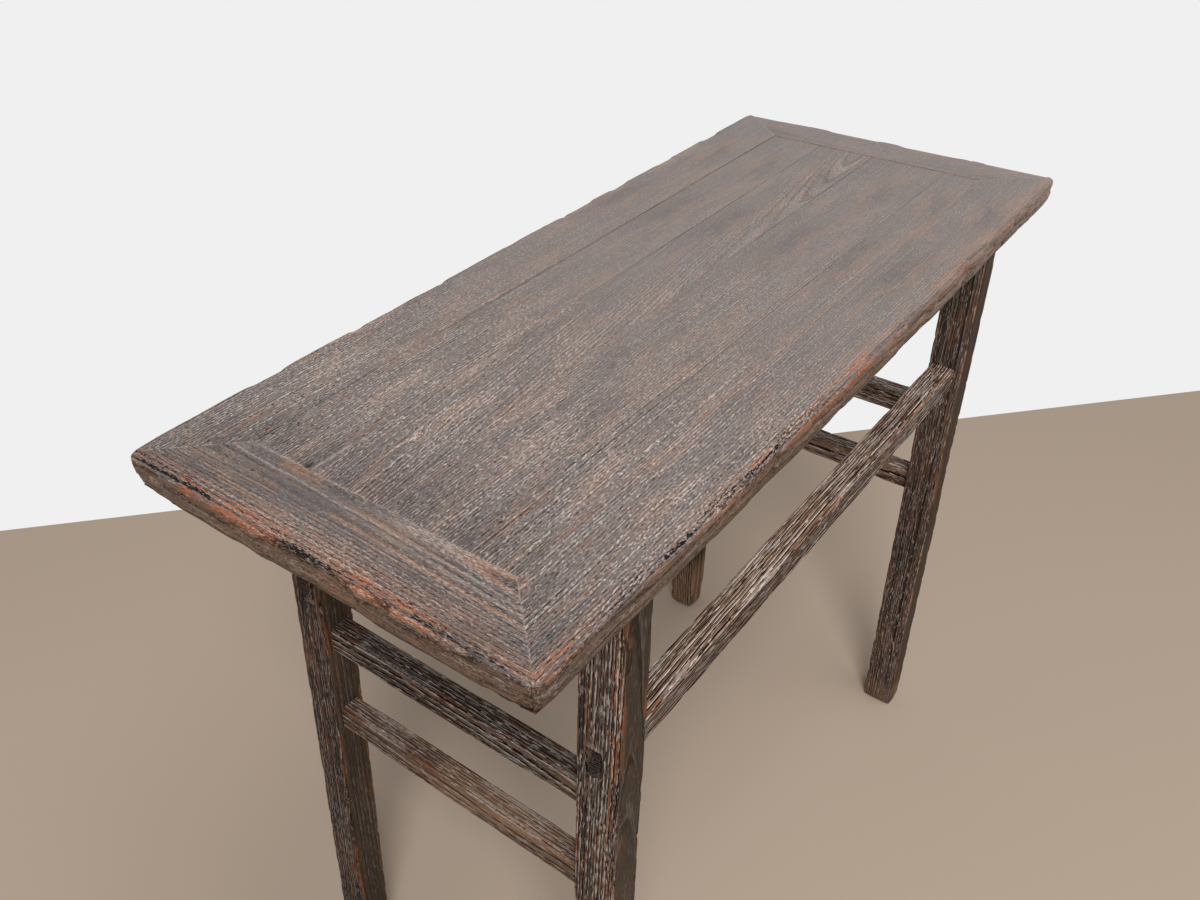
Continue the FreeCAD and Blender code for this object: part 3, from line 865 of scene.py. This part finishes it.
def rail_edge(axis, seed, warmth, pits):
    """A rail's outer arris: a warm rubbed band, a chain of black pits in it, a dark edge below.

    pits(along) says where along the rail the pits are.
    """
    def age(state):
        along, _, up = state.local.T
        outer = half_depth if axis == 0 else half_length
        inwards = outer - np.abs(state.points[:, 1 - axis])

        def drift(cell, offset):
            return noise(along / cell, seed + offset)

        state.add(side=0.8 * rise(-3, -6, up), dim=0.25 * rise(-3, -8, up))
        patchy = rise(-0.3, 0.5, noise(np.stack([along / 60, inwards / 6], axis=-1), seed))
        band = rise(16, 8, inwards) * rise(-11, -5, up)
        state.add(worn=0.06 * warmth * band * patchy)
        state.add(rubbed=0.35 * band * rise(5, 10, inwards))
        state.add(pits=0.35 * band * patchy * pits(along))
        rough_end = rise(0, -400, state.x) * rise(-4, -2, up)
        state.add(calm=-0.35 * rise(30, 18, inwards) * rough_end)
        state.add(dim=0.55 * bump(inwards, 1.5, 4.0) * rise(-6, -3, up))
        state.add(depth=1.3 * rise(0.0, 0.6, drift(38, 8)) * rise(14, 3, inwards))

        stray = 1.2 * drift(60, 1)
        for line, width in ORANGE_LINES:
            thread = bump(inwards - up * 0.3, line + stray, width * (1 + drift(40, 12)))
            broken = rise(-9, -6, up) * rise(-0.8, -0.2, drift(90, 5))
            state.add(worn=1.5 * warmth * thread * broken * (0.5 + 0.5 * pits(along)))
        chain = bump(inwards, PIT_LINE + stray, 1.6) * rise(-9, -4, up) * pits(along)
        chain = np.minimum(1.2 * chain, 0.9) * rise(-0.3, 0.2, drift(45, 13))
        state.add(pits=chain, depth=0.5 * chain)
        salmon = bump(inwards, SALMON_LINE + 2 * stray, 4.0) * rise(-0.2, 0.4, drift(70, 9))
        state.add(worn=0.25 * warmth * salmon * state.on_top)

        wavy = bump(up, -17 + 3 * drift(60, 3), 1.0)
        state.add(dust=0.35 * wavy * rise(-0.2, 0.5, drift(30, 4)))
        state.add(soot=0.6 * rise(-30, -35, up))
        far_half = rise(-60, 160, state.x) * rise(0.5, -0.3, drift(45, 6))
        warm_end = far_half * rise(22, 10, inwards) * rise(-34, -26, up)
        state.add(warm_end, tan=0.15, worn=0.12 * warmth)
    return age


def pale_ring(state):
    """A ring's pale line on the left end rail, which drifts outwards from back to front."""
    forwards = (PALE_RING_REACH - state.y) / (2 * PALE_RING_REACH)
    outwards = PALE_RING_START + PALE_RING_DRIFT * forwards
    place = inner_left - outwards + 1.2 * noise(state.y / 25, 31)
    near = bump(state.x, place, 0.9) * stretch(state.y, -PALE_RING_REACH, PALE_RING_REACH, 6)
    state.add(near * state.on_top, dust=0.45)


def spot(first, second, length, width, axis=0, **amounts):
    """A mark that fades out over its length and width, on the top at (x, y) or, with axis=1,
    on a leg's outer face at (y, z)."""
    def age(state):
        along = (state.points[:, axis] - first) / length
        across = (state.points[:, axis + 1] - second) / width
        near = np.exp(-(along ** 2 + across ** 2))
        state.add(near * state.on_top if axis == 0 else near, **amounts)
    return age


def joint_line(axis, place, low, high, **amounts):
    """A stretch of a joint on the top that has opened, at a place across it."""
    def age(state):
        along = state.points[:, axis]
        near = bump(state.points[:, 1 - axis], place, 1.4) * stretch(along, low, high, 8)
        near = near * state.on_top * (0.7 + 0.3 * noise(along / 7, 29))
        state.add(near, **amounts)
    return age


RAIL_JOINTS = (
    joint_line(0, inner_front, -410, -170, worn=0.9),
    joint_line(0, inner_front, -170, 60, worn=0.75),
    joint_line(0, inner_front, 60, 470, worn=0.3, tan=0.3),
    joint_line(0, inner_back, -300, 470, worn=0.25, soot=0.1),
    joint_line(1, inner_left, inner_front, inner_back, dust=0.5, worn=0.3),
    joint_line(1, inner_right, inner_front, inner_back, tan=0.8, worn=0.2),
)
PLANK_JOINTS = (
    *RAIL_JOINTS,
    joint_line(0, seams[3], -458, -412, dust=0.8),
    joint_line(0, seams[3], 180, 464, soot=0.14),
    joint_line(0, seams[2], 346, 470, soot=0.14),
    joint_line(0, seams[1], -446, -362, worn=0.9, depth=0.3),
    joint_line(0, seams[1], 325, 456, soot=0.14),
    spot(-456, 80, 4, 3, soot=1.0, depth=1.5),
    spot(340, 15, 130, 28, calm=-0.3),
)

top_wood = Wood("top_wood", TOP_LOOK, 0.0).owner
leg_wood = Wood("leg_wood", LEG_LOOK, 21.0).owner
stretcher_wood = Wood("stretcher_wood", STRETCHER_LOOK, 43.0).owner
end_wood = Wood("end_stretcher_wood", LEG_LOOK, 87.0).owner
batten_wood = Wood("batten_wood", BATTEN_LOOK, 67.0).owner


# Top

# For rails along x and along y: outer face, step, ring width, wander, depth of the grain,
# and for each end its place at the inner and the outer face
RAIL_KINDS = (
    (half_depth, LONG_STEP, 3.0, 1.5, 0.2, ((inner_left, -half_length), (inner_right, half_length))),
    (half_length, 3.0, 3.6, 1.6, 0.24, ((inner_front, -half_depth), (inner_back, half_depth))),
)


def make_rail(name, axis, side, inner, seed, pith, warmth, pits, tilt=(0, 0), wear=1.0, ages=()):
    """A rail of the frame. inner is its inner face and warmth how orange its edge is."""
    outer, step, ring, wander, relief, ends = RAIL_KINDS[axis]
    width = outer - abs(inner)
    skin = rail_skin(side, axis, outer, width, ends, step)
    middle = side * (outer - width / 2)
    origin = (0, middle, top) if axis == 0 else (middle, 0, top)
    timber = Timber(seed, origin, axis, pith, ring, tilt=tilt, wander=wander)
    edge = rail_edge(axis, seed + 11, warmth, pits)
    ages = (handled_top, edge, mitre_lines, chipped_corners, *ages, *RAIL_JOINTS)
    dress(name, "frame_wood", skin, timber, top_wood, ages=ages,
          relief=relief, wear=wear, warm=0.1 * warmth)


def make_plank(index, seed, pith, tilt=(0, 0), knots=()):
    low, high = seams[index - 1:index + 1]
    places = stations_between(inner_left, inner_right, LONG_STEP, close=CLOSE_STATIONS)
    skin = bar_skin(
        0, places, (low, panel_low[2]), (high, panel_high[2]), (0.8, SEAM_RADIUS),
        [5.0, 5.0, 1.2, 5.0], arris_reach=1.5)
    timber = Timber(seed, (0, (low + high) / 2, top), 0, pith, 2.8, tilt=tilt, knots=knots)
    dress(f"panel_plank_{index}", "panel_wood", skin, timber, top_wood,
          ages=(handled_top, *PLANK_JOINTS), relief=0.1, wear=0.15)


def make_batten(index, seed):
    name = f"panel_batten_{index}"
    low, high = node_box(name)
    places = stations_between(inner_front, inner_back, LONG_STEP)
    skin = bar_skin(1, places, (low[0], low[2]), (high[0], panel_low[2]), (1.0, 0.6), 2.0)
    timber = Timber(seed, ((low[0] + high[0]) / 2, 0, low[2]), 1, (9, -40), 3.0)
    dress(name, "batten_wood", skin, timber, batten_wood, relief=0.25, wear=0.4)


# Legs

TENON_STATIONS = [
    edge + offset for edge in (tenon_low[2], tenon_high[2]) for offset in (-1.5, 0, 1.5)
]


def leg_skin(foot, lean, signs):
    """A leaning leg over its foot's outer corner, most rounded along its outer arris."""
    half = LEG_SECTION / 2
    corners = []
    for corner in ((-1, -1), (1, -1), (1, 1), (-1, 1)):
        radius = LEG_OUTER_RADIUS if corner == tuple(signs) else LEG_RADIUS
        corners.append((*(half * corner), radius))
    outline, arris = section_outline(corners, 1.05)
    shoulder = underside + SHOULDER_SINK
    layers = []
    for place in stations_between(0, shoulder, LONG_STEP, close=(1.0, 2.2), extra=TENON_STATIONS):
        centre = foot - signs * (half + lean * place / underside)
        foot_round = 1 - 0.07 * np.clip(1 - place / 3.0, 0, 1) ** 2
        layers.append(np.column_stack([centre + outline * foot_round, np.full(len(outline), place)]))
    return Skin(np.array(layers), arris)


def tenon_recess(end, side):
    """The dark recess round the through tenon in a leg's outer face."""
    def age(state):
        middle = side * np.abs([tenon_low[1], tenon_high[1]]).mean()
        half = TENON_THICKNESS / 2
        inside = stretch(state.y - middle, -half, half, 0.8)
        inside = inside * stretch(state.z, tenon_low[2], tenon_high[2], 0.8)
        inside = inside * rise(0.5, 0.9, state.normals[:, 0] * end)
        state.add(inside, depth=2.0, soot=1.0)
    return age


def make_leg(name, end, side, seed, pith, dim, grime, foot_wear, stain=0.0, stain_height=50,
             ages=()):
    """A leg. grime and dim darken its grained faces, and stain pales the wood of its foot."""
    low, high = node_box(name)
    signs = np.array([end, side])
    foot = np.where(signs > 0, high[:2], low[:2])
    skin = leg_skin(foot, (high - low)[:2] - LEG_SECTION, signs)

    def faces(state):
        smooth_face = rise(0.8, 0.97, np.abs(state.normals[:, 1]))
        state.add(side=smooth_face, calm=0.65 * smooth_face, soot=grime * (1 - smooth_face))
        state.add(dim=dim * (1 - smooth_face) + 0.3 * smooth_face)

    def worn_foot(state):
        z = state.z
        height = z + 10 * noise(state.points / 20, seed + 21)
        stained = stain * rise(stain_height * 1.3, stain_height * 0.7, height)
        state.add(rubbed=0.5 * foot_wear * rise(60, 30, height), tan=stained, dim=stained)
        state.add(depth=4.0 * foot_wear * np.clip(1 - z / 12, 0, 1) ** 2)
        state.add(depth=3.0 * foot_wear * state.arris ** 2 * rise(70, 0, z))

    origin = (*(foot - signs * LEG_SECTION / 2), 0)
    timber = Timber(seed, origin, 2, pith, 3.3, tilt=(0.006, 0.0))
    ages = (faces, worn_foot, tenon_recess(end, side), *ages)
    dress(name, "leg_wood", skin, timber, leg_wood, ages=ages, relief=1.0, wear=0.8, narrow=8)


# Stretchers

STRETCHER_RADII = (3.0, 3.0)
# For the long and the end stretchers: how far they show, ring width and material
STRETCHER_KINDS = (
    (node_box("leg_front_right")[1][0] - LEG_SECTION[0], 2.8, stretcher_wood),
    (node_box("leg_back_right")[1][1] - LEG_SECTION[1], 3.4, end_wood),
)
TENON_SETBACK = 0.5
TENON_END_LENGTH = 8


def make_stretcher(name, axis, seed, pith, grime=0.0, bare=0.0, ages=()):
    """A stretcher. grime darkens it, and bare says how much of its wood is dry and pale."""
    reach, ring, material = STRETCHER_KINDS[axis]
    low, high = node_box(name)
    across = 1 - axis
    skin = bar_skin(
        axis, stations_between(-reach, reach, LONG_STEP),
        (low[across], low[2]), (high[across], high[2]), STRETCHER_RADII, 1.2, arris_reach=5.0)

    def faces(state):
        upright = rise(0.5, 0.9, np.abs(state.normals[:, across]))
        # The upright faces take the look's side colours; on the long stretchers these are partly
        # painted shade.
        state.add(side=0.7 * upright, soot=grime * (1 - 0.3 * upright))
        near_joint = rise(reach - 45, reach - 20, np.abs(state.local[:, 0]))
        patchy = rise(-0.4, 0.3, noise(state.local / (50, 14, 14), seed + 23))
        state.add(rubbed=0.6 * near_joint, tan=np.maximum(bare * patchy, 0.5 * near_joint * patchy))
        top_arris = state.arris ** 2 * rise(0.2, 0.6, state.normals[:, 2])
        dusty = rise(-0.2, 0.5, noise(state.local[:, 0] / 50, seed + 21))
        state.add(dust=0.3 * top_arris * dusty)

    timber = Timber(seed, (low + high) / 2, axis, pith, ring, tilt=(0.0, 0.01), wander=2.2)
    ages = (faces, *ages)
    dress(name, "stretcher_wood", skin, timber, material, ages=ages, relief=0.9, wear=0.8)


def make_tenon_end(name, end, seed):
    """The end of a long stretcher's tenon, showing in the outer face of a leg."""
    low, high = node_box(name)
    middle = (low[1] + high[1]) / 2
    half = TENON_THICKNESS / 2 - TENON_SETBACK
    tip = end * (high[0] - 0.2)
    places = stations_between(*sorted((tip, tip - end * TENON_END_LENGTH)), 1.0)
    corners = [(middle - half, low[2] + TENON_SETBACK), (middle + half, high[2] - TENON_SETBACK)]
    skin = bar_skin(0, places, *corners, (0.8, 0.8), 0.9, arris_reach=1.5)

    def blackened(state):
        fibres = noise(state.points / (5, 1.3, 3.5), seed + 21)
        state.add(soot=0.75 + 0.7 * fibres, depth=1.3 * rise(0.0, 0.5, fibres))

    timber = Timber(seed, (tip, middle, (low[2] + high[2]) / 2), 0, (30, 12), 60)
    label = "left" if end < 0 else "right"
    dress(name, "stretcher_wood", skin, timber, stretcher_wood, suffix=f"tenon_{label}",
          rough=0.45, ages=(blackened,), relief=0.0, wear=0.3, wave=0.0)


# The floor, and the light

FLOOR_EDGE_TURN = math.radians(-42.2)
FLOOR_EDGE_MIDDLE = Vector((0.72, 0.51, 0))
FLOOR_CORNERS = ((-4, 0, 0), (4, 0, 0), (4, -6.4, 0), (-4, -6.4, 0))
LAMP_TARGET = Vector((0, 0, 0.4))
WALL_LEVEL = 0.87
WORLD_LEVEL = 0.36


def add_floor():
    """A pale floor whose far edge lies where the photograph's floor meets its wall."""
    shader = Shader(bpy.data.materials.new("floor"), "Principled BSDF")
    shader.fill(shader.surface, {"Roughness": 0.9, "Base Color": colour(171, 153, 136)})
    turn = Matrix.Rotation(FLOOR_EDGE_TURN, 3, "Z")
    corners = [FLOOR_EDGE_MIDDLE + turn @ Vector(corner) for corner in FLOOR_CORNERS]
    mesh = bpy.data.meshes.new("floor")
    mesh.from_pydata(corners, [], [range(4)])
    mesh.materials.append(shader.owner)
    floor = add_object("floor", mesh)


def add_lamp(name, place, size, power):
    data = bpy.data.lights.new(name, "AREA")
    data.shape = "DISK"
    data.size = size
    data.energy = power
    lamp = add_object(name, data)
    lamp.location = place
    lamp.rotation_euler = (LAMP_TARGET - Vector(place)).to_track_quat("-Z", "Y").to_euler()


def add_world():
    """Soft light from all round, and a pale wall to the camera and in reflections."""
    shader = Shader(bpy.data.worlds.new("world"), "Background")
    seen = shader.node("LightPath", {}, "Is Camera Ray")
    for kind in ("Is Glossy Ray", "Is Transmission Ray"):
        seen = seen.larger(shader.node("LightPath", {}, kind))
    level = shader.node("MapRange", {"Value": seen, "To Min": WORLD_LEVEL, "To Max": WALL_LEVEL})
    shader.fill(shader.surface, {"Color": (1.0, 1.0, 1.0, 1.0), "Strength": level})
    bpy.context.scene.world = shader.owner


add_camera()
bpy.context.scene.view_settings.view_transform = "Standard"
add_world()
add_floor()
add_lamp("key", (-2.9, -2.2, 4.2), 1.8, 205)
add_lamp("fill", (0.2, -1.4, 4.6), 2.5, 58)

make_rail(
    "top_long_rail_front", 0, -1, inner_front, 11, (150, -50), 0.9,
    pits=lambda along: stretch(along, -420, 330, 60),
    ages=(
        spot(-466, -150, 9, 5, worn=0.7),
        spot(-400, -190, 110, 40, dim=-0.35, calm=-0.2),
    ),
)
make_rail(
    "top_long_rail_back", 0, 1, inner_back, 23, (-160, -70), 0.2,
    pits=lambda along: 0.05,
    wear=0.7,
)
make_rail(
    "top_end_rail_left", 1, -1, inner_left, 37, (-33, -28), 0.95,
    pits=lambda along: 0.35 + 0.65 * stretch(along, -20, 205, 30),
    tilt=(0.0, -0.015),
    ages=(
        spot(-482, 110, 22, 70, dim=0.6),
        spot(-484, 10, 20, 130, calm=0.45, rubbed=0.3),
        spot(-523, -20, 12, 190, worn=0.34, rubbed=0.3),
        pale_ring,
    ),
)
make_rail(
    "top_end_rail_right", 1, 1, inner_right, 41, (60, -45), 0.1,
    pits=lambda along: 0.1,
    tilt=(0.0, 0.03),
    wear=0.5,
)

make_plank(1, 53, (170, -60))
make_plank(2, 61, (150, -60))
make_plank(3, 73, (-48, -45), (0.07, 0.03), ((-372, -3, 6, 16, 7), (187, -18, 5, 10, 5)))
make_plank(4, 83, (160, -60))
for index, seed in enumerate((91, 97, 101), start=1):
    make_batten(index, seed)


def calmer(state):
    state.add(calm=0.3)


make_leg(
    "leg_front_left", -1, -1, 113, (160, 6), 0.5, 0.08, 0.3,
    ages=(
        spot(-178, 641, 7, 3.5, axis=1, worn=1.0, dust=0.6),
        spot(-184, 690, 5, 1.2, axis=1, dust=1.0, depth=0.8),
    ),
)
make_leg(
    "leg_front_right", 1, -1, 127, (-140, 30), 0.2, 0.0, 0.2, stain=0.4, stain_height=42,
    ages=(calmer,),
)
make_leg("leg_back_left", -1, 1, 131, (120, -60), 0.8, 0.3, 0.3)
make_leg("leg_back_right", 1, 1, 137, (-120, 40), 0.5, 0.0, 1.0, stain=0.9, stain_height=100)

make_stretcher("front_long_stretcher", 0, 149, (-60, -40))
make_stretcher("back_long_stretcher", 0, 151, (50, -50))
make_stretcher("left_upper_stretcher", 1, 157, (-70, 30), grime=0.5)
make_stretcher("left_lower_stretcher", 1, 163, (-50, 20), bare=0.65, ages=(calmer,))
make_stretcher("right_upper_stretcher", 1, 167, (55, -30), bare=0.15)
make_stretcher("right_lower_stretcher", 1, 173, (-45, 15), bare=0.5)
for name, seed in (("front_long_stretcher", 181), ("back_long_stretcher", 191)):
    make_tenon_end(name, -1, seed)
    make_tenon_end(name, 1, seed + 2)
